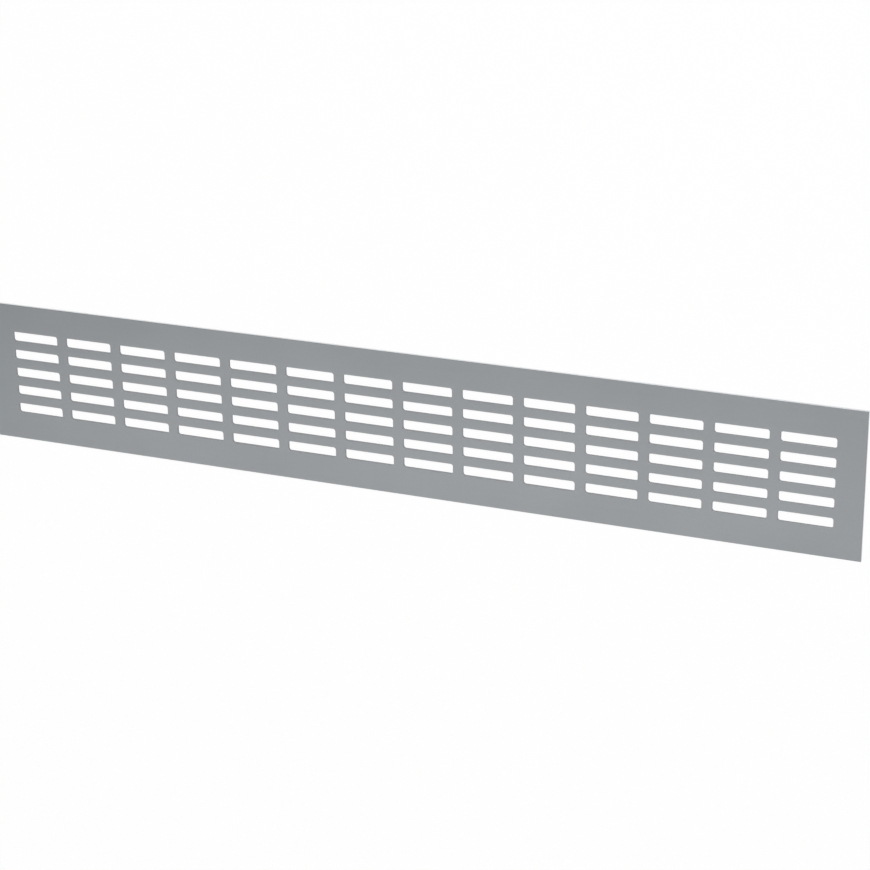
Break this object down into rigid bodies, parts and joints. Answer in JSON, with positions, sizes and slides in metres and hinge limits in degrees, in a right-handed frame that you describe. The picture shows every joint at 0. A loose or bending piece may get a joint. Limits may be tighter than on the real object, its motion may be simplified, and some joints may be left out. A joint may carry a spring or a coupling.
{
  "type": "ventilation strip",
  "caption": "Flat stamped aluminium strip with rows of round-cornered slots, laid over a cut-out in a worktop, plinth or door so that air can pass.",
  "frame": {"origin": "centre of the back face, which is the bottom of the bounding box", "axes": "+X along the strip, +Y across it, +Z out of the front face, the one with the softened edges; the strip lies on its back face"},
  "size_m": [0.5, 0.08, 0.0015],
  "materials": {
    "anodised_aluminium": "satin anodised"
  },
  "bodies": {
    "root": {"vent_strip": "anodised_aluminium"}
  },
  "joints": []
}
